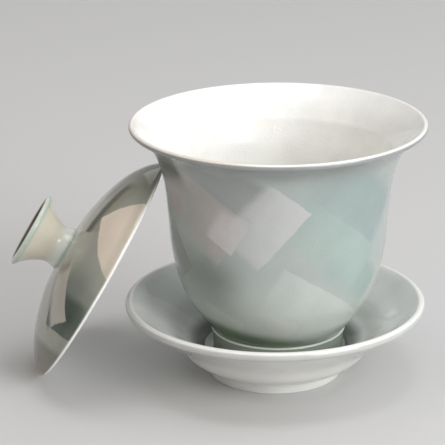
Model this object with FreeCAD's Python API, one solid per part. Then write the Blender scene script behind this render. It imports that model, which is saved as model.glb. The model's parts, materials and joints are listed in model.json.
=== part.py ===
import FreeCAD
import Part
import math
import os

# A gaiwan: a flared tea bowl standing in its saucer, with its domed lid leaning against the bowl.
# Millimetres, +Z up. The origin is the centre of the saucer's foot ring on the table,
# +X runs from the leaning lid towards the bowl, and -Y is the front.

# ---------------------------------------------------------------- driving dimensions

# saucer
SAUCER_FOOT_R = 23.1        # outside of the foot ring, on the table
SAUCER_FOOT_WIDTH = 3.4     # width of the foot ring's standing face
SAUCER_FOOT_H = 5.2         # from the table to the ledge under the saucer's body
SAUCER_RECESS_H = 3.4       # how far the underside is hollowed inside the foot ring
SAUCER_FLOOR_Z = 9.2        # the flat floor that the bowl's foot stands on
SAUCER_FLOOR_R = 24.3
SAUCER_LIP_R = 51.4         # outermost radius
SAUCER_LIP_Z = 24.9         # height of the lip's centre
SAUCER_LIP = 1.5            # radius of the rounded lip

# bowl
CUP_SHIFT = 1.1             # the bowl's foot has play in the saucer, and the lid has pushed it this far to +X
CUP_SEAT_GAP = 0.2          # running clearance between the bowl's foot and the saucer's floor
CUP_FOOT_R = 22.5
CUP_FOOT_WIDTH = 3.2
CUP_FOOT_TOP_Z = 16.4       # where the foot ring meets the bowl's belly
CUP_RECESS_H = 3.4
CUP_LIP_R = 50.0
CUP_LIP_Z = 88.2            # height of the lip's centre
CUP_LIP = 1.0
CUP_FLARE_R = 39.3          # inside radius where the straight wall breaks into the flared lip
CUP_FLARE_Z = 78.7
CUP_INSIDE_Z = 16.4         # the bowl's inside floor

# lid, in its own upright frame: the rim's standing plane is z = 0 and the knob points up
LID_R = 41.8
LID_LIP = 1.0
LID_LIP_Z = 1.0             # height of the lip's centre over the rim plane
LID_CROWN_Z = 14.8          # the flat seat that the knob is luted to
LID_CROWN_R = 7.9
LID_INSIDE_Z = 12.4         # the dome's inside, at the centre

# knob, in the lid's upright frame
KNOB_BASE_R = 7.7
KNOB_NECK_R = 6.9
KNOB_NECK_Z = 18.4
KNOB_LIP_R = 13.2
KNOB_LIP_Z = 28.1
KNOB_LIP = 1.0
KNOB_RECESS_Z = 21.9        # floor of the hollow in the knob's top
KNOB_RECESS_R = 5.2

# how the lid leans: its axis rises from the table, turned a little from -X towards +Y
LEAN_RISE = 30.9            # degrees between the lid's axis and the table
LEAN_BEARING = 3.0          # degrees from -X
LEAN_R = 60.25              # from the bowl's axis to the centre of the lid's rim plane


# ---------------------------------------------------------------- outlines and solids

def at(radius, height):
    """A point of a half outline, in the plane y = 0."""
    return FreeCAD.Vector(radius, 0, height)


def line(start, end):
    """A straight stretch of an outline."""
    return Part.LineSegment(at(*start), at(*end)).toShape()


def arc(start, middle, end):
    """A round stretch of an outline through three points."""
    return Part.Arc(at(*start), at(*middle), at(*end)).toShape()


def curve(points):
    """A smooth stretch of an outline through its points."""
    spline = Part.BSplineCurve()
    spline.interpolate([at(*point) for point in points])
    return spline.toShape()


def on_lip(centre, radius, degrees):
    """The point of a rounded lip at an angle from +X."""
    turn = math.radians(degrees)
    return (centre[0] + radius * math.cos(turn), centre[1] + radius * math.sin(turn))


def turned(edges):
    """The solid of revolution of a closed half outline about the Z axis."""
    face = Part.Face(Part.Wire(edges))
    return face.revolve(FreeCAD.Vector(0, 0, 0), FreeCAD.Vector(0, 0, 1), 360)


def make_saucer():
    """The saucer: a foot ring, a rounded body, a flat floor for the bowl and a flared rim."""
    lip = (SAUCER_LIP_R - SAUCER_LIP, SAUCER_LIP_Z)
    lip_in = on_lip(lip, SAUCER_LIP, 120)
    lip_top = on_lip(lip, SAUCER_LIP, 30)
    lip_out = on_lip(lip, SAUCER_LIP, -60)
    ring_in = SAUCER_FOOT_R - SAUCER_FOOT_WIDTH
    ledge_r = 27.6
    waist_r = SAUCER_FOOT_R + 0.7
    floor_edge = (SAUCER_FLOOR_R + 0.9, SAUCER_FLOOR_Z + 0.9)
    underside = [(ledge_r, SAUCER_FOOT_H), (31.2, 8.0), (35.0, 12.6), (41.4, 17.6), lip_out]
    inside = [lip_in, (43.2, 21.7), (36.8, 18.0), (31.6, 13.6), floor_edge]
    return turned([
        line((0, SAUCER_RECESS_H), (ring_in - 0.6, SAUCER_RECESS_H)),
        line((ring_in - 0.6, SAUCER_RECESS_H), (ring_in, 0)),
        line((ring_in, 0), (SAUCER_FOOT_R - 0.5, 0)),
        line((SAUCER_FOOT_R - 0.5, 0), (SAUCER_FOOT_R, 0.6)),
        line((SAUCER_FOOT_R, 0.6), (waist_r, SAUCER_FOOT_H - 0.3)),
        line((waist_r, SAUCER_FOOT_H - 0.3), (ledge_r, SAUCER_FOOT_H)),
        curve(underside),
        arc(lip_out, lip_top, lip_in),
        curve(inside),
        line(floor_edge, (SAUCER_FLOOR_R, SAUCER_FLOOR_Z)),
        line((SAUCER_FLOOR_R, SAUCER_FLOOR_Z), (0, SAUCER_FLOOR_Z)),
        line((0, SAUCER_FLOOR_Z), (0, SAUCER_RECESS_H)),
    ])


def make_cup():
    """The bowl: a foot ring, a round belly, a nearly straight wall and a flared lip."""
    foot_z = SAUCER_FLOOR_Z + CUP_SEAT_GAP
    recess_z = foot_z + CUP_RECESS_H
    ring_in = CUP_FOOT_R - CUP_FOOT_WIDTH
    lip = (CUP_LIP_R - CUP_LIP, CUP_LIP_Z)
    lip_out = on_lip(lip, CUP_LIP, -60)
    lip_top = on_lip(lip, CUP_LIP, 35)
    lip_in = on_lip(lip, CUP_LIP, 130)
    bead_low = (CUP_FOOT_R, CUP_FOOT_TOP_Z - 0.8)
    bead = (CUP_FOOT_R + 0.5, CUP_FOOT_TOP_Z - 0.2)
    bead_high = (CUP_FOOT_R, CUP_FOOT_TOP_Z + 0.4)
    belly_and_wall = [
        bead_high, (28.3, 24.0), (33.1, 32.6), (36.1, 45.0),
        (37.3, 58.0), (38.6, 70.0), (41.3, 79.0), (45.4, 84.8), lip_out,
    ]
    flare_inside = [lip_in, (43.2, 84.4), (CUP_FLARE_R, CUP_FLARE_Z)]
    wall_inside = [
        (CUP_FLARE_R, CUP_FLARE_Z), (36.5, 70.0), (35.1, 58.0), (33.6, 45.0),
        (30.2, 33.4), (23.0, 23.4), (12.0, 17.6), (0, CUP_INSIDE_Z),
    ]
    solid = turned([
        line((0, recess_z), (ring_in - 0.6, recess_z)),
        line((ring_in - 0.6, recess_z), (ring_in, foot_z)),
        line((ring_in, foot_z), (CUP_FOOT_R - 0.5, foot_z)),
        line((CUP_FOOT_R - 0.5, foot_z), (CUP_FOOT_R, foot_z + 0.6)),
        line((CUP_FOOT_R, foot_z + 0.6), bead_low),
        arc(bead_low, bead, bead_high),
        curve(belly_and_wall),
        arc(lip_out, lip_top, lip_in),
        curve(flare_inside),
        curve(wall_inside),
        line((0, CUP_INSIDE_Z), (0, recess_z)),
    ])
    solid.translate(FreeCAD.Vector(CUP_SHIFT, 0, 0))
    return solid


def make_lid():
    """The domed lid, upright in its own frame."""
    lip = (LID_R - LID_LIP, LID_LIP_Z)
    lip_out = on_lip(lip, LID_LIP, 40)
    lip_low = on_lip(lip, LID_LIP, -70)
    lip_in = on_lip(lip, LID_LIP, -170)
    dome = [lip_out, (38.6, 4.7), (33.8, 8.0), (25.8, 11.4), (15.9, 13.9), (LID_CROWN_R, LID_CROWN_Z)]
    inside = [lip_in, (36.4, 3.7), (30.0, 7.4), (20.0, 10.8), (10.0, 12.1), (0, LID_INSIDE_Z)]
    return turned([
        line((0, LID_CROWN_Z), (LID_CROWN_R, LID_CROWN_Z)),
        curve(dome[::-1]),
        arc(lip_out, lip_low, lip_in),
        curve(inside),
        line((0, LID_INSIDE_Z), (0, LID_CROWN_Z)),
    ])


def make_knob():
    """The lid's knob: a waisted, flared ring with a hollow top, upright in the lid's frame."""
    lip = (KNOB_LIP_R - KNOB_LIP, KNOB_LIP_Z)
    lip_out = on_lip(lip, KNOB_LIP, -30)
    lip_top = on_lip(lip, KNOB_LIP, 60)
    lip_in = on_lip(lip, KNOB_LIP, 150)
    outside = [(KNOB_BASE_R, LID_CROWN_Z), (KNOB_NECK_R, KNOB_NECK_Z), (8.6, 22.6), (11.0, 25.8), lip_out]
    inside = [lip_in, (8.4, 24.2), (KNOB_RECESS_R, KNOB_RECESS_Z)]
    return turned([
        line((0, LID_CROWN_Z), (KNOB_BASE_R, LID_CROWN_Z)),
        curve(outside),
        arc(lip_out, lip_top, lip_in),
        curve(inside),
        line((KNOB_RECESS_R, KNOB_RECESS_Z), (0, KNOB_RECESS_Z)),
        line((0, KNOB_RECESS_Z), (0, LID_CROWN_Z)),
    ])


def lean(solid):
    """Lay a solid of the lid's upright frame against the bowl, its rim on the table."""
    rise = math.radians(LEAN_RISE)
    bearing = math.radians(LEAN_BEARING)
    axis = FreeCAD.Vector(
        -math.cos(rise) * math.cos(bearing),
        math.cos(rise) * math.sin(bearing),
        math.sin(rise),
    )
    # the lowest point of the rounded lip touches the table
    rim_z = (LID_R - LID_LIP) * math.cos(rise) + LID_LIP - LID_LIP_Z * math.sin(rise)
    centre = FreeCAD.Vector(
        CUP_SHIFT - LEAN_R * math.cos(bearing),
        LEAN_R * math.sin(bearing),
        rim_z,
    )
    leaning = solid.copy()
    leaning.Placement = FreeCAD.Placement(centre, FreeCAD.Rotation(FreeCAD.Vector(0, 0, 1), axis))
    return leaning


def main():
    """Write one STEP file for each piece."""
    os.makedirs("parts", exist_ok=True)
    pieces = {
        "saucer": make_saucer(),
        "cup": make_cup(),
        "lid": lean(make_lid()),
        "lid_knob": lean(make_knob()),
    }
    for name, solid in pieces.items():
        solid.exportStep(f"parts/{name}.step")
        print(name, solid.ShapeType, solid.isValid(), round(solid.Volume, 1), "mm3")


main()
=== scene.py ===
"""A gaiwan dressed for rendering: a flared tea bowl in its saucer, with the domed lid leaning on the bowl.

Every piece is thrown on the wheel here as it is in the pottery: a half outline with eased edges is
drawn, spun about the piece's axis and set down where the frame holds it. Outlines are in
millimetres in the piece's own upright place, so the same numbers serve wherever the piece stands.
"""

import json
import logging
import math
from dataclasses import dataclass, field
from typing import NamedTuple, Sequence

import bpy
from mathutils import Matrix, Vector
from mathutils.kdtree import KDTree


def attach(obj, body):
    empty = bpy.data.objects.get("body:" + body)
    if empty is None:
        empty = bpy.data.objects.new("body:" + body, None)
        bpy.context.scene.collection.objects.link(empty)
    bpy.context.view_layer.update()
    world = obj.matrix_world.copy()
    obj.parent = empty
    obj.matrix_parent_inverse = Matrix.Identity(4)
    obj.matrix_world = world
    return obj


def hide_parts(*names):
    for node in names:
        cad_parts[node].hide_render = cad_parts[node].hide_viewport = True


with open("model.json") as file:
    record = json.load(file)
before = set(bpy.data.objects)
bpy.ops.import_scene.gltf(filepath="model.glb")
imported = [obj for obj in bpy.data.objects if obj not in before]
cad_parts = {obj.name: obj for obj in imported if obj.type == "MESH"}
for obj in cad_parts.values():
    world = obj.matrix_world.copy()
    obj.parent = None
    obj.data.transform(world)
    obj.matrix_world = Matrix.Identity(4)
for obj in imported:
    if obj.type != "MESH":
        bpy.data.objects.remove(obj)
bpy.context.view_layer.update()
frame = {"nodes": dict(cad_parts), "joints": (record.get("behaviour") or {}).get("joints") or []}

log = logging.getLogger("gaiwan")

MM = 0.001               # one millimetre, in metres
UP = Vector((0.0, 0.0, 1.0))
SAME_PLACE = 0.01        # outline points nearer than this are one point, in millimetres
SEAM = 0.02              # vertices nearer than this are merged after spinning, in millimetres
CREASE = 40.0            # edges sharper than this stay sharp, in degrees
LIP_STEPS = 14           # steps round each stretch of a lip
TURNED_EDGE = 0.5        # how far from a turned corner its rounding starts, in millimetres
RING_SLOPE = 0.6         # how much a foot ring's recess narrows to its roof, in millimetres
FOOT_DRAFT = 0.2         # how much a foot ring narrows to its standing face, in millimetres
NO_REPEAT = 1000.0       # a period longer than any chart, in millimetres
BRUSH_WANDER = 1.0       # how far brushed edges stray, in millimetres
RUN = "outline_run"      # attribute: millimetres along the half outline from its first point

Colour = tuple[float, float, float, float]


def srgb(red: int, green: int, blue: int) -> Colour:
    """A display colour as the linear colour that the shaders take.

    Args:
        red: 0 to 255.
        green: 0 to 255.
        blue: 0 to 255.

    Returns:
        Linear red, green, blue and an alpha of one.
    """
    def linear(value: int) -> float:
        """One channel, from display to linear."""
        share = value / 255
        return share / 12.92 if share <= 0.04045 else ((share + 0.055) / 1.055) ** 2.4

    return (linear(red), linear(green), linear(blue), 1.0)


# ---------------------------------------------------------------- outlines

class Point(NamedTuple):
    """A point of a half outline, in millimetres."""

    radius: float
    height: float


class Outline:
    """A half outline, drawn point by point from the axis round the wall and back to the axis."""

    def __init__(self, radius: float, height: float) -> None:
        """Start the outline at a point."""
        self.points: list[Point] = [Point(radius, height)]
        self.marks: dict[str, float] = {}

    @property
    def length(self) -> float:
        """Millimetres drawn so far."""
        pairs = zip(self.points, self.points[1:])
        return sum(math.dist(here, there) for here, there in pairs)

    def mark(self, name: str) -> "Outline":
        """Remember how far along the outline this place is."""
        self.marks[name] = self.length
        return self

    def straight(self, radius: float, height: float, pitch: float = 2.0) -> "Outline":
        """Draw a straight stretch.

        Args:
            radius: of its end.
            height: of its end.
            pitch: the longest step between points.

        Returns:
            The outline, so that calls can be chained.
        """
        start = Vector(self.points[-1])
        end = Vector((radius, height))
        steps = max(1, math.ceil((end - start).length / pitch))
        for step in range(1, steps + 1):
            self.points.append(Point(*start.lerp(end, step / steps)))
        return self

    def eased(self, corners: Sequence[tuple[float, float]], ease: float) -> "Outline":
        """Draw straight stretches whose corners are rounded off, as glaze and a sponge leave them.

        Args:
            corners: the corners, then the end point, which isn't rounded.
            ease: how far from a corner its rounding starts.

        Returns:
            The outline.
        """
        for corner, after in zip(corners, corners[1:]):
            before = Vector(self.points[-1])
            peak = Vector(corner)
            away = Vector(after) - peak
            start = peak + (before - peak).normalized() * min(ease, (before - peak).length / 2)
            end = peak + away.normalized() * min(ease, away.length / 2)
            self.straight(*start)
            for share in (0.25, 0.5, 0.75, 1.0):
                self.points.append(Point(*start.lerp(peak, share).lerp(peak.lerp(end, share), share)))
        return self.straight(*corners[-1])

    def flowing(self, knots: Sequence[tuple[float, float]], pitch: float = 1.1) -> "Outline":
        """Draw a smooth curve on through the knots.

        Args:
            knots: points that the curve passes, after the last point drawn.
            pitch: about how far apart its points are.

        Returns:
            The outline.
        """
        path = [Vector(self.points[-1])] + [Vector(knot) for knot in knots]
        ends = [2 * path[0] - path[1]] + path + [2 * path[-1] - path[-2]]
        for before, here, there, after in zip(ends, ends[1:], ends[2:], ends[3:]):
            chord = (there - here).length
            lean_out = (there - before) * chord / ((here - before).length + chord)
            lean_in = (after - here) * chord / ((after - there).length + chord)
            steps = max(2, round(chord / pitch))
            for step in range(1, steps + 1):
                t = step / steps
                place = (
                    here * (1 - 3 * t * t + 2 * t ** 3)
                    + lean_out * (t - 2 * t * t + t ** 3)
                    + lean_in * (t ** 3 - t * t)
                    + there * (3 * t * t - 2 * t ** 3)
                )
                self.points.append(Point(*place))
        return self

    def lip(self, centre: tuple[float, float], radius: float, start: float, end: float) -> "Outline":
        """Draw a rounded lip.

        Args:
            centre: of its round.
            radius: of its round.
            start: degrees from level where it starts.
            end: degrees from level where it ends.

        Returns:
            The outline.
        """
        for step in range(LIP_STEPS + 1):
            turn = math.radians(start + (end - start) * step / LIP_STEPS)
            place = Point(centre[0] + radius * math.cos(turn), centre[1] + radius * math.sin(turn))
            if math.dist(place, self.points[-1]) > SAME_PLACE:
                self.points.append(place)
        return self


# ---------------------------------------------------------------- throwing

def deselect_everything() -> None:
    """Leave nothing selected, in object mode."""
    if bpy.context.mode != "OBJECT":
        bpy.ops.object.mode_set(mode="OBJECT")
    bpy.ops.object.select_all(action="DESELECT")


def stand_of(node: str, axis: Vector) -> Matrix:
    """Where a turned node of the frame stands: its axis through its middle, at its lowest level.

    Args:
        node: the node's name.
        axis: the node's own upward direction, in the frame.

    Returns:
        The place of the piece's upright frame, in metres.
    """
    turn = UP.rotation_difference(axis).to_matrix()
    corners = [turn.transposed() @ vertex.co for vertex in frame["nodes"][node].data.vertices]
    low = Vector([min(corner[i] for corner in corners) for i in range(3)])
    high = Vector([max(corner[i] for corner in corners) for i in range(3)])
    foot = Vector(((low.x + high.x) / 2, (low.y + high.y) / 2, low.z))
    return Matrix.Translation(turn @ foot) @ turn.to_4x4()


class Band(NamedTuple):
    """A colour that starts near a mark of the outline and covers all that is further along."""

    mark: str
    start: float                   # millimetres past the mark where it begins to show
    end: float                     # millimetres past the mark where it covers
    colour: object


@dataclass
class ThrownPiece:
    """A piece of pottery that is thrown, turned and set in its place."""

    name: str
    node: str                      # of the frame, which the piece replaces
    body: str                      # of the frame, which the piece rides on
    slot: str                      # of its glaze
    axis: Vector = field(default_factory=lambda: UP.copy())
    facets: int = 160              # round the piece

    def outline(self) -> Outline:
        """The piece's half outline, which each piece draws for itself."""
        raise NotImplementedError

    def base_height(self) -> float:
        """The outline's lowest height, which is set on the frame's lowest level."""
        return min(point.height for point in self.outline().points)

    def stand(self) -> Matrix:
        """The place of the outline's own zero, in the frame."""
        return stand_of(self.node, self.axis) @ Matrix.Translation(UP * -self.base_height() * MM)

    def throw(self) -> bpy.types.Object:
        """Draw the half outline by extruding a point along it, and spin it into a closed piece.

        Returns:
            The piece, upright at the origin, with its outline run stored in an attribute.
        """
        drawn = self.outline()
        deselect_everything()
        start = drawn.points[0]
        bpy.ops.mesh.primitive_plane_add(size=MM, location=(0, 0, 0))
        piece = bpy.context.object
        piece.name = self.name
        piece.data.name = self.name
        bpy.ops.object.mode_set(mode="EDIT")
        bpy.ops.mesh.select_all(action="SELECT")
        bpy.ops.mesh.merge(type="CENTER")
        bpy.ops.transform.translate(value=(start.radius * MM, 0, start.height * MM))
        for here, there in zip(drawn.points, drawn.points[1:]):
            step = ((there.radius - here.radius) * MM, 0, (there.height - here.height) * MM)
            bpy.ops.mesh.extrude_region_move(TRANSFORM_OT_translate={"value": step})
        bpy.ops.mesh.select_all(action="SELECT")
        bpy.ops.mesh.spin(steps=self.facets, angle=math.tau, center=(0, 0, 0), axis=(0, 0, 1))
        bpy.ops.mesh.select_all(action="SELECT")
        bpy.ops.mesh.remove_doubles(threshold=SEAM * MM)
        bpy.ops.mesh.normals_make_consistent(inside=False)
        bpy.ops.object.mode_set(mode="OBJECT")
        bpy.ops.object.shade_smooth_by_angle(angle=math.radians(CREASE))
        self.store_run(piece, drawn)
        return piece

    def store_run(self, piece: bpy.types.Object, drawn: Outline) -> None:
        """Write how far along the outline each vertex lies, for the glazes to follow.

        Args:
            piece: the spun piece, upright at the origin.
            drawn: the outline it was spun from.
        """
        tree = KDTree(len(drawn.points))
        runs = [0.0]
        for index, point in enumerate(drawn.points):
            tree.insert((point.radius, point.height, 0.0), index)
            if index:
                runs.append(runs[-1] + math.dist(drawn.points[index - 1], point))
        tree.balance()
        attribute = piece.data.attributes.new(RUN, "FLOAT", "POINT")
        for vertex in piece.data.vertices:
            radius = math.hypot(vertex.co.x, vertex.co.y) / MM
            _, nearest, _ = tree.find((radius, vertex.co.z / MM, 0.0))
            attribute.data[vertex.index].value = runs[nearest]

    def settle(self, piece: bpy.types.Object) -> None:
        """Put the piece in its place in the frame, in its mesh, hang it on its body and hide the frame's
        node.

        Args:
            piece: the upright piece at the origin.
        """
        deselect_everything()
        piece.select_set(True)
        bpy.context.view_layer.objects.active = piece
        piece.matrix_world = self.stand()
        bpy.ops.object.transform_apply(location=True, rotation=True, scale=True)
        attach(piece, self.body)
        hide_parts(self.node)

    def banded(self, web: "Web", colour: object, bands: Sequence[Band]) -> object:
        """Lay bands of colour round the piece, one over another along its outline.

        Args:
            web: the material's web.
            colour: the colour before the first band.
            bands: the bands, in the order in which they are laid.

        Returns:
            The colour with the bands on it.
        """
        run = web.run()
        marks = self.outline().marks
        for band in bands:
            share = web.ramp(run, marks[band.mark] + band.start, marks[band.mark] + band.end)
            colour = web.mix(share, colour, band.colour)
        return colour

    def glaze(self) -> bpy.types.Material:
        """The piece's finish, which each piece mixes for itself."""
        raise NotImplementedError

    def make(self) -> bpy.types.Object:
        """Throw the piece, dress it and settle it in its place.

        Returns:
            The finished piece.
        """
        piece = self.throw()
        piece.data.materials.append(self.glaze())
        self.settle(piece)
        log.info("%s: %d faces on body %s", piece.name, len(piece.data.polygons), self.body)
        return piece


# ---------------------------------------------------------------- glazes

@dataclass(frozen=True)
class Grain:
    """A scattered unevenness: how fine it is, its detail and the span of its noise that counts."""

    scale: float                   # cells in a millimetre
    detail: float                  # octaves
    low: float = 0.3
    high: float = 0.7

    def spread(self, web: "Web", place: object, start: float, end: float) -> bpy.types.NodeSocket:
        """The unevenness as a value.

        Args:
            web: the material's web.
            place: the place in millimetres.
            start: the value at the low end of the span.
            end: the value at its high end.

        Returns:
            The value.
        """
        return web.ramp(web.noise(place, self), self.low, self.high, start, end)


BRUSHWORK = Grain(0.22, 2.0)       # of brushed edges
CLOUDS = Grain(0.09, 4.0)          # where glaze lies thicker and thinner
FINE_SPECKS = Grain(1.6, 2.0, 0.35, 0.65)
PATCHES = Grain(0.08, 2.0)         # of duller and sharper gloss
PEEL = Grain(0.35, 2.0)
TURNING = Grain(1.0, 3.0)
TURNING_WOBBLE = Grain(0.02, 0.0)
GRIT = Grain(0.8, 1.0, 0.64, 0.74)


class Web:
    """A web of shader nodes, with short ways to add and join them."""

    def __init__(self, tree: bpy.types.NodeTree, material: bpy.types.Material | None = None) -> None:
        """Hold the node tree and the material that it belongs to, if any."""
        self.tree = tree
        self.material = material

    @classmethod
    def of_material(cls, name: str) -> "Web":
        """Make a material with an empty web.

        Args:
            name: the material's name.

        Returns:
            Its web.
        """
        material = bpy.data.materials.new(name)
        material.use_nodes = True
        material.node_tree.nodes.clear()
        return cls(material.node_tree, material)

    def add(self, kind: str, **settings: object) -> bpy.types.Node:
        """Add a node.

        Args:
            kind: the node's type.
            settings: its properties, by name.

        Returns:
            The node.
        """
        node = self.tree.nodes.new(kind)
        for name, value in settings.items():
            setattr(node, name, value)
        return node

    def feed(self, socket: bpy.types.NodeSocket, value: object) -> None:
        """Give an input either a link or a plain value.

        Args:
            socket: the input.
            value: an output to link, or the value.
        """
        if isinstance(value, bpy.types.NodeSocket):
            self.tree.links.new(value, socket)
        else:
            socket.default_value = value

    def math(self, operation: str, *values: object, clamp: bool = False) -> bpy.types.NodeSocket:
        """Add a Math node.

        Args:
            operation: what it does.
            values: its inputs in order.
            clamp: whether the result is held between 0 and 1.

        Returns:
            The result.
        """
        node = self.add("ShaderNodeMath", operation=operation, use_clamp=clamp)
        for socket, value in zip(node.inputs, values):
            self.feed(socket, value)
        return node.outputs[0]

    def ramp(
        self, value: object, low: object, high: object, start: float = 0.0, end: float = 1.0,
    ) -> bpy.types.NodeSocket:
        """A value mapped smoothly from one range to another, held at its ends.

        Args:
            value: what is mapped.
            low: the value that gives start.
            high: the value that gives end.
            start: the result at low.
            end: the result at high.

        Returns:
            The mapped value.
        """
        node = self.add("ShaderNodeMapRange", interpolation_type="SMOOTHSTEP", clamp=True)
        for socket, entry in zip(node.inputs, (value, low, high, start, end)):
            self.feed(socket, entry)
        return node.outputs[0]

    def mix(self, share: object, first: object, second: object, blend: str = "MIX") -> bpy.types.NodeSocket:
        """Mix two colours.

        Args:
            share: how much of the second colour.
            first: a colour.
            second: a colour.
            blend: the way they are mixed.

        Returns:
            The mixed colour.
        """
        node = self.add("ShaderNodeMix", data_type="RGBA", blend_type=blend)
        self.feed(node.inputs[0], share)
        self.feed(node.inputs[6], first)
        self.feed(node.inputs[7], second)
        return node.outputs[2]

    def noise(self, vector: object, grain: Grain, output: str = "Fac") -> bpy.types.NodeSocket:
        """Noise about 0.5 over a place.

        Args:
            vector: the place, in millimetres.
            grain: its fineness and detail.
            output: "Fac" for a value or "Color" for three.

        Returns:
            The noise.
        """
        node = self.add("ShaderNodeTexNoise")
        self.feed(node.inputs["Vector"], vector)
        node.inputs["Scale"].default_value = grain.scale
        node.inputs["Detail"].default_value = grain.detail
        return node.outputs[output]

    def split(self, vector: bpy.types.NodeSocket) -> list[bpy.types.NodeSocket]:
        """Take a vector apart.

        Args:
            vector: the vector.

        Returns:
            Its three parts.
        """
        node = self.add("ShaderNodeSeparateXYZ")
        self.feed(node.inputs[0], vector)
        return list(node.outputs)

    def join(self, *parts: object) -> bpy.types.NodeSocket:
        """Make a vector.

        Args:
            parts: up to three parts; the rest are 0.

        Returns:
            The vector.
        """
        node = self.add("ShaderNodeCombineXYZ")
        for socket, part in zip(node.inputs, parts):
            self.feed(socket, part)
        return node.outputs[0]

    def upright(self, stand: Matrix) -> bpy.types.NodeSocket:
        """The surface point in the piece's own upright frame.

        Args:
            stand: where that frame stands, in metres.

        Returns:
            The place, in millimetres.
        """
        place = self.add("ShaderNodeTexCoord")
        node = self.add("ShaderNodeMapping", vector_type="TEXTURE")
        self.feed(node.inputs["Vector"], place.outputs["Object"])
        node.inputs["Location"].default_value = stand.to_translation()
        node.inputs["Rotation"].default_value = stand.to_euler()
        node.inputs["Scale"].default_value = (MM, MM, MM)
        return node.outputs[0]

    def wandering(self, chart: bpy.types.NodeSocket, place: bpy.types.NodeSocket) -> bpy.types.NodeSocket:
        """Shift a chart's places a little, so that brushed edges aren't ruled lines.

        Args:
            chart: the place on the chart, in millimetres.
            place: the upright place, in millimetres.

        Returns:
            The shifted place on the chart.
        """
        shift = self.add("ShaderNodeVectorMath", operation="MULTIPLY_ADD")
        self.feed(shift.inputs[0], self.noise(place, BRUSHWORK, output="Color"))
        shift.inputs[1].default_value = (BRUSH_WANDER, BRUSH_WANDER, 0.0)
        self.feed(shift.inputs[2], chart)
        return shift.outputs[0]

    def wall_chart(self, place: bpy.types.NodeSocket, girth: float) -> bpy.types.NodeSocket:
        """A turned wall laid out flat: across is round from the front, up is the height.

        Args:
            place: the upright place in millimetres.
            girth: the radius at which across is measured, millimetres.

        Returns:
            The place on the chart.
        """
        x, y, z = self.split(place)
        bearing = self.math("ARCTAN2", x, self.math("MULTIPLY", y, -1.0))
        return self.wandering(self.join(self.math("MULTIPLY", bearing, girth), z), place)

    def run(self) -> bpy.types.NodeSocket:
        """How far along the half outline the surface point is, in millimetres."""
        return self.add("ShaderNodeAttribute", attribute_name=RUN).outputs["Fac"]


WASH_GROUP = "wash"
PERIOD_RIGHT = 0.1                 # share of a period that is kept to the right of a wash's corner
FAR_EDGE = 2.0                     # added to twice the crisp edges' width for the far edges, millimetres


@dataclass(frozen=True)
class Wash:
    """One square of glaze brushed on: crisp along the two edges at its corner, thinning away from it.

    Its corner is a place on the piece's chart, which lays the surface out flat, in millimetres.
    """

    corner: tuple[float, float]
    heading: float                 # of its first edge, degrees; its second edge is a quarter turn further
    reach: float                   # along the first edge, millimetres
    drop: float                    # along the second edge, millimetres
    tone: Colour
    strength: float = 0.9          # how much of the colour beneath it hides at its corner
    fade: float = 60.0             # how far from the corner it has thinned away, millimetres
    edge: float = 0.7              # how wide the crisp edges are, millimetres

    def lay(
        self, web: Web, chart: bpy.types.NodeSocket, period: float, colour: object,
    ) -> bpy.types.NodeSocket:
        """Lay the wash over a colour.

        Args:
            web: the material's web.
            chart: the place on the piece's chart.
            period: how far across the chart the wash comes again, millimetres.
            colour: the colour beneath.

        Returns:
            The colour with the wash on it.
        """
        group = bpy.data.node_groups.get(WASH_GROUP) or wash_group()
        node = web.add("ShaderNodeGroup", node_tree=group)
        web.feed(node.inputs["Chart"], chart)
        measures = {
            "Corner": (*self.corner, 0.0),
            "Heading": math.radians(self.heading),
            "Reach": self.reach,
            "Drop": self.drop,
            "Fade": self.fade,
            "Edge": self.edge,
            "Period": period,
        }
        for name, value in measures.items():
            node.inputs[name].default_value = value
        return web.mix(web.math("MULTIPLY", node.outputs["Amount"], self.strength), colour, self.tone)


def wash_group() -> bpy.types.NodeTree:
    """Make the node group that says how much of a wash lies at a place on the chart.

    Returns:
        A group that takes the place and the wash's measures, and gives its amount.
    """
    group = bpy.data.node_groups.new(WASH_GROUP, "ShaderNodeTree")
    for name in ("Chart", "Corner"):
        group.interface.new_socket(name, in_out="INPUT", socket_type="NodeSocketVector")
    for name in ("Heading", "Reach", "Drop", "Fade", "Edge", "Period"):
        group.interface.new_socket(name, in_out="INPUT", socket_type="NodeSocketFloat")
    group.interface.new_socket("Amount", in_out="OUTPUT", socket_type="NodeSocketFloat")
    web = Web(group)
    given = web.add("NodeGroupInput").outputs
    offset = web.add("ShaderNodeVectorMath", operation="SUBTRACT")
    web.feed(offset.inputs[0], given["Chart"])
    web.feed(offset.inputs[1], given["Corner"])
    across, above = web.split(offset.outputs[0])[:2]
    right = web.math("MULTIPLY", given["Period"], PERIOD_RIGHT)
    left = web.math("MULTIPLY", given["Period"], PERIOD_RIGHT - 1.0)
    across = web.math("WRAP", across, right, left)
    turned = web.add("ShaderNodeVectorRotate", rotation_type="Z_AXIS", invert=True)
    web.feed(turned.inputs["Vector"], web.join(across, above))
    web.feed(turned.inputs["Angle"], given["Heading"])
    along, down = web.split(turned.outputs[0])[:2]
    near = given["Edge"]
    far = web.math("ADD", web.math("MULTIPLY", near, 2.0), FAR_EDGE)
    diagonal = web.math("MULTIPLY", given["Fade"], math.sqrt(2))
    thinned = web.math("DIVIDE", web.math("ADD", along, down), diagonal)
    amount = web.math("SUBTRACT", 1.0, thinned, clamp=True)
    edges = (
        (along, near),
        (down, near),
        (web.math("SUBTRACT", given["Reach"], along), far),
        (web.math("SUBTRACT", given["Drop"], down), far),
    )
    for inward, width in edges:
        amount = web.math("MULTIPLY", amount, web.ramp(inward, 0.0, width))
    web.feed(web.add("NodeGroupOutput").inputs["Amount"], amount)
    return group


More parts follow.
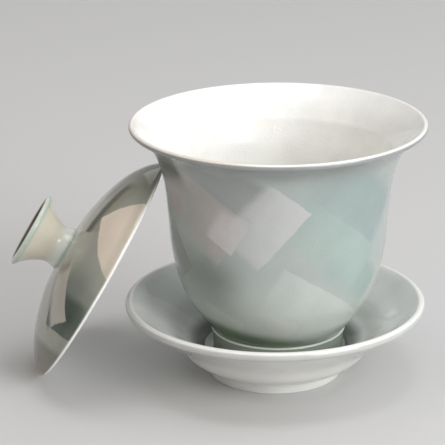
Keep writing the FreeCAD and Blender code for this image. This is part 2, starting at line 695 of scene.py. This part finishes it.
@dataclass(frozen=True)
class Glaze:
    """A clear gloss glaze over a colour: how sharply it shines and how its skin undulates."""

    roughness: float = 0.08
    sharpest: float = 0.8          # share of the roughness in the sharpest patches
    dullest: float = 1.3           # share of the roughness in the dullest patches
    ior: float = 1.5
    skin: float = 0.022            # height of the orange-peel skin, millimetres
    turning: float = 0.016         # height of the faint turning lines, millimetres
    turning_scale: float = 0.8     # turning lines to a millimetre of the outline
    turning_sway: float = 2.0      # how far the turning lines sway, in line widths
    pits: float = 0.05             # depth of the pinholes, millimetres
    pit_scale: float = 0.15        # pinholes to a millimetre
    pit_size: float = 0.05         # radius of a pinhole, as a share of their spacing
    grit: float = 0.0              # height of the sparse raised specks, millimetres
    mottle: float = 0.035          # how much lighter and darker the glaze lies in places

    def mottled(self, web: Web, place: bpy.types.NodeSocket, colour: object) -> bpy.types.NodeSocket:
        """Mottle a colour, as glaze that lies thicker and thinner does, with fine specks in it.

        Args:
            web: the material's web.
            place: the upright place in millimetres.
            colour: the plain colour.

        Returns:
            The mottled colour.
        """
        fine = self.mottle / 3
        clouds = CLOUDS.spread(web, place, 1.0 - self.mottle, 1.0 + self.mottle)
        specks = FINE_SPECKS.spread(web, place, 1.0 - fine, 1.0 + fine)
        shade = web.math("MULTIPLY", clouds, specks)
        return web.mix(1.0, colour, web.join(shade, shade, shade), blend="MULTIPLY")

    def relief(self, web: Web, place: bpy.types.NodeSocket) -> bpy.types.NodeSocket:
        """The skin's relief: peel, turning lines round the piece, pinholes and specks.

        Args:
            web: the material's web.
            place: the upright place in millimetres.

        Returns:
            Its height in millimetres.
        """
        peel = web.math("MULTIPLY", web.noise(place, PEEL), self.skin)
        sway = web.math("MULTIPLY", web.noise(place, TURNING_WOBBLE), self.turning_sway)
        rings = web.join(web.math("MULTIPLY", web.run(), self.turning_scale), sway)
        lines = web.math("MULTIPLY", web.noise(rings, TURNING), self.turning)
        cells = web.add("ShaderNodeTexVoronoi", feature="F1")
        web.feed(cells.inputs["Vector"], place)
        cells.inputs["Scale"].default_value = self.pit_scale
        hollows = web.ramp(cells.outputs["Distance"], 0.0, self.pit_size, -1.0, 0.0)
        holes = web.math("MULTIPLY", hollows, self.pits)
        specks = web.math("MULTIPLY", GRIT.spread(web, place, 0.0, 1.0), self.grit)
        return web.math("ADD", web.math("ADD", peel, lines), web.math("ADD", holes, specks))

    def finish(self, web: Web, place: bpy.types.NodeSocket, colour: object) -> bpy.types.Material:
        """Join a colour to the glazed shader.

        Args:
            web: the material's web.
            place: the upright place in millimetres.
            colour: the colour under the gloss.

        Returns:
            The finished material.
        """
        shader = web.add("ShaderNodeBsdfPrincipled")
        shader.inputs["IOR"].default_value = self.ior
        web.feed(shader.inputs["Base Color"], self.mottled(web, place, colour))
        sharpest, dullest = self.roughness * self.sharpest, self.roughness * self.dullest
        web.feed(shader.inputs["Roughness"], PATCHES.spread(web, place, sharpest, dullest))
        bump = web.add("ShaderNodeBump")
        bump.inputs["Strength"].default_value = 1.0
        bump.inputs["Distance"].default_value = MM
        web.feed(bump.inputs["Height"], self.relief(web, place))
        web.feed(shader.inputs["Normal"], bump.outputs[0])
        web.feed(web.add("ShaderNodeOutputMaterial").inputs["Surface"], shader.outputs[0])
        return web.material


# ---------------------------------------------------------------- the pieces

WHITE = srgb(243, 243, 240)


@dataclass
class Saucer(ThrownPiece):
    """The saucer: foot ring, rounded body, flat floor and flared rim."""

    name: str = "saucer_body"
    node: str = "saucer"
    body: str = "saucer"
    slot: str = "saucer_glaze"
    foot_r: float = 23.1           # outside of the foot ring, on the table
    ring_in: float = 19.7          # inside of the foot ring, on the table
    foot_h: float = 5.2            # from the table to the ledge under the body
    foot_flare: float = 0.7        # how much the foot widens up to the ledge
    foot_dip: float = 0.3          # how far the groove under the ledge lies below it
    ledge_r: float = 27.6          # where the ledge turns up into the body
    recess_h: float = 3.4          # from the table to the recess's roof
    floor_z: float = 9.2           # the well's floor
    floor_r: float = 24.3
    floor_turn: float = 0.9        # how far out and up the floor turns into the inside's slope
    lip_centre: tuple[float, float] = (49.9, 24.9)
    lip_r: float = 1.5
    girth: float = 44.0            # the inside's radius, where the washes are measured
    repeats: int = 6               # of the two washes, round the inside

    def outline(self) -> Outline:
        """Draw the recess, foot ring, body, lip, inside and floor.

        Returns:
            The half outline.
        """
        body = [(31.2, 8.0), (35.0, 12.6), (41.4, 17.6), (50.65, 23.6)]
        inside = [(43.2, 21.7), (36.8, 18.0), (31.6, 13.6)]
        line = Outline(0, self.recess_h)
        line.eased([
            (self.ring_in - RING_SLOPE, self.recess_h),
            (self.ring_in, 0),
            (self.foot_r - FOOT_DRAFT, 0),
            (self.foot_r + self.foot_flare, self.foot_h - self.foot_dip),
            (self.ledge_r, self.foot_h),
        ], TURNED_EDGE)
        line.flowing(body).mark("rim_under")
        line.lip(self.lip_centre, self.lip_r, -60, 40).mark("rim_edge")
        line.lip(self.lip_centre, self.lip_r, 40, 120).mark("rim_over")
        line.flowing(inside).mark("well")
        line.flowing([(self.floor_r + self.floor_turn, self.floor_z + self.floor_turn)])
        line.eased([(self.floor_r, self.floor_z), (0, self.floor_z)], TURNED_EDGE)
        return line

    def washes(self) -> tuple[Wash, ...]:
        """Name the washes brushed on the inside.

        Returns:
            The washes, the lowest first.
        """
        cool = Wash((12, 24), 146, 26, 20, srgb(222, 227, 224), 0.7, 34)
        chalk = Wash((30, 19), 140, 20, 16, srgb(244, 245, 242), 0.7, 30)
        return (cool, chalk)

    def glaze(self) -> bpy.types.Material:
        """Mix pale celadon with faint squares inside, dark painted shade and reflection in the well, painted
        shadow under the rim, and white on the rim and beneath.

        Returns:
            The finished material.
        """
        web = Web.of_material("celadon_saucer")
        place = web.upright(self.stand())
        chart = web.wall_chart(place, self.girth)
        inside = srgb(246, 248, 247)
        for wash in self.washes():
            inside = wash.lay(web, chart, math.tau * self.girth / self.repeats, inside)
        beneath, shadow, well = srgb(227, 227, 223), srgb(196, 197, 194), srgb(104, 114, 106)
        colour = self.banded(web, beneath, (
            Band("rim_under", -1.5, 0.0, shadow),
            Band("rim_edge", -0.5, 0.3, WHITE),
            Band("rim_over", 0.0, 2.5, inside),
            # the well colour is painted shade and reflection of the bowl's foot, laid round the floor
            Band("well", 0.0, 6.0, well),
        ))
        return Glaze(roughness=0.06).finish(web, place, colour)


@dataclass
class TeaBowl(ThrownPiece):
    """The bowl: foot ring, round belly, nearly straight wall and flared lip."""

    name: str = "tea_bowl"
    node: str = "cup"
    body: str = "cup"
    slot: str = "cup_glaze"
    foot_r: float = 22.5           # outside of the foot ring
    ring_in: float = 19.3          # inside of the foot ring
    foot_z: float = 9.4            # the foot ring's standing face
    recess_z: float = 12.8         # the recess's roof
    belly_z: float = 16.4          # where the foot ring meets the belly, in a bead
    bead_low: float = 0.8          # from there down to the bead's lower end
    bead_mid: float = 0.2          # from there down to the bead's widest place
    bead_top: float = 0.4          # from there up to the bead's upper end
    bead_out: float = 0.5          # how far the bead stands out
    girth: float = 37.0            # the wall's radius, where the washes are measured
    repeats: int = 2               # of the group of washes, round the wall
    lip_centre: tuple[float, float] = (49.0, 88.2)
    lip_r: float = 1.0
    inside_z: float = 16.4         # the inside's lowest place
    pale_wall: tuple[float, float] = (24, 50)        # heights between which the wall cools
    flare_shade: tuple[float, float] = (78, 86)        # heights between which painted shade under the lip darkens the flare
    pool: tuple[float, float] = (23.0, 18.5)         # heights between which the pooled glaze gathers
    pool_shade_tilt: float = 0.2         # how much lower the green lies for each millimetre to the right: real pooled glaze, drawn higher on the left as painted shade

    def outline(self) -> Outline:
        """Draw the recess, foot ring, bead, belly, wall, lip, flare and inside.

        Returns:
            The half outline.
        """
        bead = [
            (self.foot_r + self.bead_out, self.belly_z - self.bead_mid),
            (self.foot_r, self.belly_z + self.bead_top),
        ]
        wall = [
            (28.3, 24.0), (33.1, 32.6), (36.1, 45.0), (37.3, 58.0),
            (38.6, 70.0), (41.3, 79.0), (45.4, 84.8), (49.5, 87.33),
        ]
        flare = [(43.2, 84.4), (39.3, 78.7)]
        inside = [
            (36.5, 70.0), (35.1, 58.0), (33.6, 45.0), (30.2, 33.4),
            (23.0, 23.4), (12.0, 17.6), (0, self.inside_z),
        ]
        line = Outline(0, self.recess_z)
        line.eased([
            (self.ring_in - RING_SLOPE, self.recess_z),
            (self.ring_in, self.foot_z),
            (self.foot_r - FOOT_DRAFT, self.foot_z),
            (self.foot_r, self.belly_z - self.bead_low),
        ], TURNED_EDGE)
        line.mark("bead_under").flowing(bead, 0.3).mark("belly")
        line.flowing(wall)
        line.lip(self.lip_centre, self.lip_r, -60, 40).mark("lip_edge")
        line.lip(self.lip_centre, self.lip_r, 40, 130).mark("lip_over")
        line.flowing(flare).mark("flare_end").flowing(inside)
        return line

    def washes(self) -> tuple[Wash, ...]:
        """Name the group of washes brushed on the wall.

        Returns:
            The washes, the lowest first.
        """
        teal = Wash((52, 68), 140, 50, 34, srgb(140, 160, 158), 0.9, 76, 7.0)
        deep = Wash((46, 42), 141, 34, 22, srgb(144, 166, 162), 0.85, 60, 5.0)
        dim = Wash((2, 77), 142, 44, 26, srgb(143, 146, 143), 0.85, 62, 4.0)
        low = Wash((-8, 58), 178, 54, 44, srgb(98, 105, 96), 0.8, 160, 16.0)
        shade = Wash((-33, 46), 126, 20, 12, srgb(132, 136, 127), 0.9, 22)
        blush = Wash((-33, 68), 140, 18, 16, srgb(184, 163, 148), 0.8, 28, 4.0)
        leaf = Wash((37.9, 52.4), 141.5, 38, 18, srgb(162, 179, 173), 0.95, 66)
        pale = Wash((41, 25.5), 147, 48, 22, srgb(197, 203, 198), 0.92, 74)
        cream_right = Wash((8.8, 29), 156, 18, 12, srgb(208, 207, 199), 0.6, 26, 2.5)
        cream_left = Wash((-12.9, 28.6), 156, 20, 12, srgb(196, 201, 189), 0.6, 28, 2.5)
        rose = Wash((-9.3, 66), 144, 34, 22, srgb(178, 171, 167), 0.92, 70)
        rose_top = Wash((-16.3, 53.6), 58, 14.5, 12.5, srgb(204, 199, 200), 0.9, 40)
        # painted shadow and reflection of the lid over the upper left of the wall
        lid_shadow_reflection = Wash((-31, 95), 182, 36, 24, srgb(78, 76, 64), 0.9, 200, 5.0)
        moon = Wash((10.5, 69.4), 139, 19, 28, srgb(197, 198, 197), 0.97, 62)
        return (teal, deep, dim, low, blush, shade, leaf, pale, cream_left, cream_right,
                rose, rose_top, lid_shadow_reflection, moon)

    def glaze(self) -> bpy.types.Material:
        """Mix brushed celadon for the outside, green where it pools over the foot, and white for the inside,
        with painted shade under the flare, on the left above the foot and below the inside's crease, a
        painted shadow and reflection of the lid, and a painted highlight on the bead.

        Returns:
            The finished material.
        """
        web = Web.of_material("celadon_bowl")
        place = web.upright(self.stand())
        chart = web.wall_chart(place, self.girth)
        side, _, height = web.split(place)
        outside = web.mix(web.ramp(height, *self.pale_wall), srgb(189, 195, 188), srgb(172, 180, 177))
        for wash in self.washes():
            outside = wash.lay(web, chart, math.tau * self.girth / self.repeats, outside)
        # painted shade under the lip, darkening the flare
        outside = web.mix(web.ramp(height, *self.flare_shade), outside, srgb(152, 156, 154))
        # green pooled glaze over the foot, real glaze, raised on the left side as painted shade
        tilted = web.math("ADD", height, web.math("MULTIPLY", side, self.pool_shade_tilt))
        outside = web.mix(web.ramp(tilted, *self.pool), outside, srgb(120, 134, 114))
        blush = Wash((-4, 99), 180, 70, 20, srgb(230, 204, 188), 0.8, 120, 8.0)
        lip = blush.lay(web, chart, math.tau * self.girth, WHITE)
        foot, bead, bowl = srgb(158, 168, 156), srgb(226, 230, 222), srgb(240, 240, 236)
        colour = self.banded(web, foot, (
            # the pale bead band is a painted highlight
            Band("bead_under", 0.0, 0.3, bead),
            Band("belly", -0.4, 0.0, outside),
            Band("lip_edge", -0.4, 0.2, lip),
            Band("lip_over", 0.0, 2.0, WHITE),
            # the inside below the flare is a touch darker than the white: painted shade below the crease
            Band("flare_end", -0.3, 0.3, bowl),
        ))
        return Glaze(roughness=0.13, grit=0.04).finish(web, place, colour)


@dataclass
class Lid(ThrownPiece):
    """The domed lid."""

    name: str = "lid_dome"
    node: str = "lid"
    body: str = "lid"
    slot: str = "lid_glaze"
    facing: float = 93.0           # degrees that turn the dome's chart level
    lip_centre: tuple[float, float] = (40.8, 1.0)
    lip_r: float = 1.0
    crown_r: float = 7.9           # of the flat that the knob stands on
    crown_z: float = 14.8
    inside_z: float = 12.4         # the inside's highest place
    pool: tuple[float, float] = (0.8, 4.5)           # past the lip, between which the pooled glaze thins out
    pool_strength: float = 0.25

    def outline(self) -> Outline:
        """Draw the inside from its centre, the lip, the dome and the crown.

        Returns:
            The half outline.
        """
        inside = [(10.0, 12.1), (20.0, 10.8), (30.0, 7.4), (36.4, 3.7), (39.82, 0.83)]
        dome = [(38.6, 4.7), (33.8, 8.0), (25.8, 11.4), (15.9, 13.9), (self.crown_r, self.crown_z)]
        line = Outline(0, self.inside_z)
        line.flowing(inside)
        line.lip(self.lip_centre, self.lip_r, -170, 40).mark("lip_out")
        line.flowing(dome).straight(0, self.crown_z)
        return line

    def washes(self) -> tuple[Wash, ...]:
        """Name the washes brushed on one half of the dome; the other half mirrors them. The dark ones are
        partly brushed glaze and partly painted dark reflection.

        Returns:
            The washes, the lowest first.
        """
        pearl = Wash((14.5, 13.6), 118, 18, 16, srgb(202, 202, 190), 0.85, 30, 1.5)
        olive = Wash((14.8, 14.4), 30, 12, 24, srgb(148, 146, 124), 0.9, 90, 1.2)
        # bark, dusk, haze, moss and stone are partly brushed glaze and partly painted dark reflection
        bark = Wash((14.8, 14.4), 27, 6.5, 23, srgb(66, 66, 54), 0.95, 80, 0.8)
        blossom = Wash((16.2, 22.6), -22, 28, 24, srgb(240, 224, 206), 1.0, 54)
        dusk = Wash((38.0, -7.9), 138, 24, 14.5, srgb(122, 117, 108), 0.9, 80, 1.2)
        haze = Wash((30, -15), 20, 24, 28, srgb(92, 104, 92), 0.9, 60, 5.0)
        moss = Wash((26.4, -16.6), 17, 22, 15, srgb(34, 56, 44), 1.0, 60, 0.8)
        stone = Wash((46, -15), 197, 70, 36, srgb(118, 116, 105), 1.0, 200, 3.0)
        linen = Wash((38.4, -7.2), 137.5, 20, 12.4, srgb(190, 185, 174), 0.95, 90)
        rust = Wash((24, -31.5), 200, 8, 9, srgb(198, 132, 88), 0.9, 18, 2.0)
        return (pearl, olive, bark, blossom, stone, dusk, haze, moss, linen, rust)

    def glaze(self) -> bpy.types.Material:
        """Mix brushed grey and olive celadon for the dome, its dark washes partly painted reflection, and
        white for the rim and the inside.

        Returns:
            The finished material.
        """
        web = Web.of_material("celadon_lid")
        place = web.upright(self.stand())
        level = web.add("ShaderNodeVectorRotate", rotation_type="Z_AXIS")
        web.feed(level.inputs["Vector"], place)
        level.inputs["Angle"].default_value = math.radians(self.facing)
        across, above = web.split(level.outputs[0])[:2]
        chart = web.wandering(web.join(web.math("ABSOLUTE", across), above), place)
        outside = srgb(160, 161, 151)
        for wash in self.washes():
            outside = wash.lay(web, chart, NO_REPEAT, outside)
        near, far = (self.outline().marks["lip_out"] + reach for reach in self.pool)
        pool = web.ramp(web.run(), near, far, self.pool_strength, 0.0)
        outside = web.mix(pool, outside, srgb(112, 126, 112))
        colour = self.banded(web, WHITE, (Band("lip_out", -1.2, -0.4, outside),))
        return Glaze(roughness=0.07).finish(web, place, colour)


@dataclass
class Knob(ThrownPiece):
    """The lid's waisted knob with its hollow top."""

    name: str = "lid_knob_ring"
    node: str = "lid_knob"
    body: str = "lid"
    slot: str = "knob_glaze"
    facets: int = 128
    seat_z: float = 14.8           # where it stands on the lid's crown
    base_r: float = 7.7
    lip_centre: tuple[float, float] = (12.2, 28.1)
    lip_r: float = 1.0
    recess_r: float = 5.2          # of the hollow's floor
    recess_z: float = 21.9
    pitch: float = 0.6             # between the points of its curves

    def outline(self) -> Outline:
        """Draw the seat, waist, flare, lip and hollow.

        Returns:
            The half outline.
        """
        waist = [(6.9, 18.4), (8.6, 22.6), (11.0, 25.8), (13.07, 27.6)]
        hollow = [(8.4, 24.2), (self.recess_r, self.recess_z)]
        line = Outline(0, self.seat_z)
        line.straight(self.base_r, self.seat_z).mark("seat")
        line.flowing(waist, self.pitch).mark("lip_out")
        line.lip(self.lip_centre, self.lip_r, -30, 150).mark("lip_in")
        line.flowing(hollow, self.pitch).straight(0, self.recess_z)
        return line

    def glaze(self) -> bpy.types.Material:
        """Mix cream celadon, mint at the seam and the lip, paler at the neck, and dark grey painted shade in
        the hollow.

        Returns:
            The finished material.
        """
        web = Web.of_material("celadon_knob")
        place = web.upright(self.stand())
        mint, neck, cream = srgb(186, 202, 190), srgb(230, 234, 226), srgb(226, 221, 204)
        top, hollow = srgb(222, 224, 214), srgb(84, 86, 79)
        colour = self.banded(web, mint, (
            Band("seat", 0.0, 1.2, neck),
            Band("seat", 2.0, 6.0, cream),
            Band("lip_out", -1.5, 0.0, mint),
            Band("lip_out", 0.6, 1.2, top),
            # the hollow colour is painted shade inside the knob's hollow top
            Band("lip_in", -0.9, 0.0, hollow),
        ))
        return Glaze(roughness=0.07).finish(web, place, colour)


# ---------------------------------------------------------------- the studio

@dataclass(frozen=True)
class SoftLight:
    """A square soft light that looks at the gaiwan."""

    name: str
    place: tuple[float, float, float]
    side: float                    # metres
    power: float                   # watts
    tone: tuple[float, float, float] = (1.0, 1.0, 1.0)

    def hang(self, target: Vector) -> None:
        """Hang the light.

        Args:
            target: what it looks at.
        """
        deselect_everything()
        bpy.ops.object.light_add(type="AREA", location=self.place)
        lamp = bpy.context.object
        lamp.name = self.name
        lamp.data.shape = "SQUARE"
        lamp.data.size = self.side
        lamp.data.energy = self.power
        lamp.data.color = self.tone
        lamp.rotation_euler = (Vector(self.place) - target).to_track_quat("Z", "Y").to_euler()


@dataclass(frozen=True)
class Studio:
    """A pale table, plain soft light and the camera, with places in metres."""

    lens: float = 168.0            # millimetres
    sensor: float = 36.0           # millimetres
    sight: float = 20.0            # how far the camera sees
    distance: float = 0.7047       # from the camera to its aim
    rise: float = 19.03            # degrees above level
    roll: float = -0.5             # degrees
    aim: tuple[float, float, float] = (-0.01776, 0.0, 0.05356)
    lights: tuple[SoftLight, ...] = (
        SoftLight("window", (0.95, -0.95, 0.60), 0.9, 14.9),
        SoftLight("ceiling", (0.0, 0.0, 1.60), 0.9, 7.4),
        SoftLight("right_wall", (0.90, 0.0, 1.20), 0.9, 4.0),
        SoftLight("back_wall", (0.0, 1.40, 0.80), 0.9, 1.2),
        SoftLight("front_low", (0.60, -1.20, 0.25), 0.9, 1.3),
        SoftLight("lamp", (-1.00, -0.50, 0.90), 0.9, 1.6, (1.0, 0.70, 0.50)),
    )
    light_target: tuple[float, float, float] = (0.0, 0.0, 0.04)
    ambient: float = 0.335         # strength of the even light from all round
    table_side: float = 6.0
    table_tone: Colour = srgb(206, 206, 206)
    table_roughness: float = 0.75

    def table(self) -> None:
        """Lay a wide plain table top."""
        deselect_everything()
        bpy.ops.mesh.primitive_plane_add(size=self.table_side, location=(0, 0, 0))
        table = bpy.context.object
        table.name = "table"
        web = Web.of_material("table_paper")
        shader = web.add("ShaderNodeBsdfPrincipled")
        shader.inputs["Base Color"].default_value = self.table_tone
        shader.inputs["Roughness"].default_value = self.table_roughness
        web.feed(web.add("ShaderNodeOutputMaterial").inputs["Surface"], shader.outputs[0])
        table.data.materials.append(web.material)

    def sky(self) -> None:
        """Light everything evenly from all round."""
        world = bpy.data.worlds.new("room")
        world.use_nodes = True
        back = world.node_tree.nodes["Background"]
        back.inputs["Color"].default_value = (1.0, 1.0, 1.0, 1.0)
        back.inputs["Strength"].default_value = self.ambient
        bpy.context.scene.world = world

    def camera(self) -> None:
        """Place the camera, above the lip and straight in front."""
        rise, roll = math.radians(self.rise), math.radians(self.roll)
        back = Vector((0, -math.cos(rise), math.sin(rise)))
        side = Vector((1, 0, 0))
        top = Vector((0, math.sin(rise), math.cos(rise)))
        right = math.cos(roll) * side + math.sin(roll) * top
        up = math.cos(roll) * top - math.sin(roll) * side
        turn = Matrix((right, up, back)).transposed().to_4x4()
        deselect_everything()
        bpy.ops.object.camera_add()
        camera = bpy.context.object
        camera.name = "camera"
        camera.data.lens = self.lens
        camera.data.sensor_width = self.sensor
        camera.data.clip_end = self.sight
        camera.matrix_world = Matrix.Translation(Vector(self.aim) + back * self.distance) @ turn
        bpy.context.scene.camera = camera

    def set_up(self) -> None:
        """Lay the table, light it and place the camera."""
        bpy.context.scene.view_settings.view_transform = "Standard"
        self.table()
        self.sky()
        for light in self.lights:
            light.hang(Vector(self.light_target))
        self.camera()


def lid_axis() -> Vector:
    """The lid's own upward direction, along which its joint lifts it."""
    joint = next(joint for joint in frame["joints"] if joint["child"] == "lid")
    return Vector(joint["axis"]).normalized()


def main() -> None:
    """Throw and glaze each piece, then set up the studio."""
    logging.basicConfig(level=logging.INFO, format="%(name)s: %(message)s")
    axis = lid_axis()
    for piece in (Saucer(), TeaBowl(), Lid(axis=axis), Knob(axis=axis)):
        piece.make()
    Studio().set_up()


if __name__ == "__main__":
    main()
